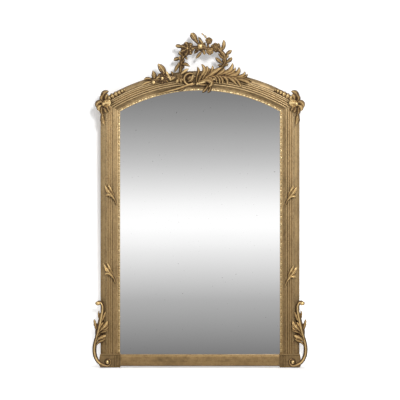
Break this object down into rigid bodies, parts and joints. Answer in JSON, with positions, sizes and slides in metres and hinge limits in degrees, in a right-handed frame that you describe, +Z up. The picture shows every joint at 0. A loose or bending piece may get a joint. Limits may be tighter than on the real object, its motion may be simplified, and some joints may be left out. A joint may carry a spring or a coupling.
{
  "type": "trumeau mirror",
  "caption": "Arched overmantel wall mirror in a reeded gilt moulding with an olive-and-pearl sight bead, side scrolls, corner leaves and an open wreath crest.",
  "frame": {"origin": "middle of the bottom rail's flat back, where it lies on the wall", "axes": "+X to the viewer's right, +Y back into the wall, +Z up; the glass faces -Y"},
  "size_m": [1.0375, 0.0759, 1.6088],
  "materials": {
    "gilt_frame": "worn gilding over gesso, satin",
    "gilt_ornament": "burnished gilding, toned brown in the recesses",
    "mirror": "silvered glass",
    "pine": "bare aged pine",
    "iron": "dark oxidised iron",
    "steel": "dull screw steel"
  },
  "bodies": {
    "mirror": {"arch_sight_bead": "gilt_ornament", "arched_top_rail": "gilt_frame", "bottom_rail": "gilt_frame", "crest_acanthus_spray": "gilt_ornament", "crest_fruit": "gilt_ornament", "crest_garland": "gilt_ornament", "crest_large_flower": "gilt_ornament", "crest_rose": "gilt_ornament", "crest_scroll": "gilt_ornament", "crest_small_rose": "gilt_ornament", "crest_upper_rose": "gilt_ornament", "crest_wreath": "gilt_ornament", "crossbar_screw_1": "steel", "crossbar_screw_2": "steel", "crossbar_screw_3": "steel", "crossbar_screw_4": "steel", "hanger_screw_1": "steel", "hanger_screw_2": "steel", "hanger_screw_3": "steel", "hanger_screw_4": "steel", "left_corner_ornament": "gilt_ornament", "left_foot_block": "gilt_frame", "left_glazing_block_1": "pine", "left_glazing_block_2": "pine", "left_hanger_strap": "iron", "left_lower_backboard": "pine", "left_lower_sprig": "gilt_ornament", "left_mitre_key": "pine", "left_side_scroll": "gilt_ornament", "left_sight_bead": "gilt_ornament", "left_stile": "gilt_frame", "left_upper_sprig": "gilt_ornament", "middle_lower_backboard": "pine", "mirror_glass": "mirror", "rear_crossbar": "pine", "right_corner_ornament": "gilt_ornament", "right_foot_block": "gilt_frame", "right_glazing_block_1": "pine", "right_glazing_block_2": "pine", "right_hanger_strap": "iron", "right_lower_backboard": "pine", "right_lower_sprig": "gilt_ornament", "right_mitre_key": "pine", "right_side_scroll": "gilt_ornament", "right_sight_bead": "gilt_ornament", "right_stile": "gilt_frame", "right_upper_sprig": "gilt_ornament", "upper_backboard": "pine"},
    "left_ring": {"left_hanging_ring": "iron"},
    "right_ring": {"right_hanging_ring": "iron"}
  },
  "joints": [
    {"name": "left_ring_hinge", "type": "hinge", "parent": "mirror", "child": "left_ring", "pos_m": [-0.25, -0.0069, 1.139], "axis": [1, 0, 0], "range_deg": [0, 180]},
    {"name": "right_ring_hinge", "type": "hinge", "parent": "mirror", "child": "right_ring", "pos_m": [0.25, -0.0069, 1.139], "axis": [1, 0, 0], "range_deg": [0, 180]}
  ]
}
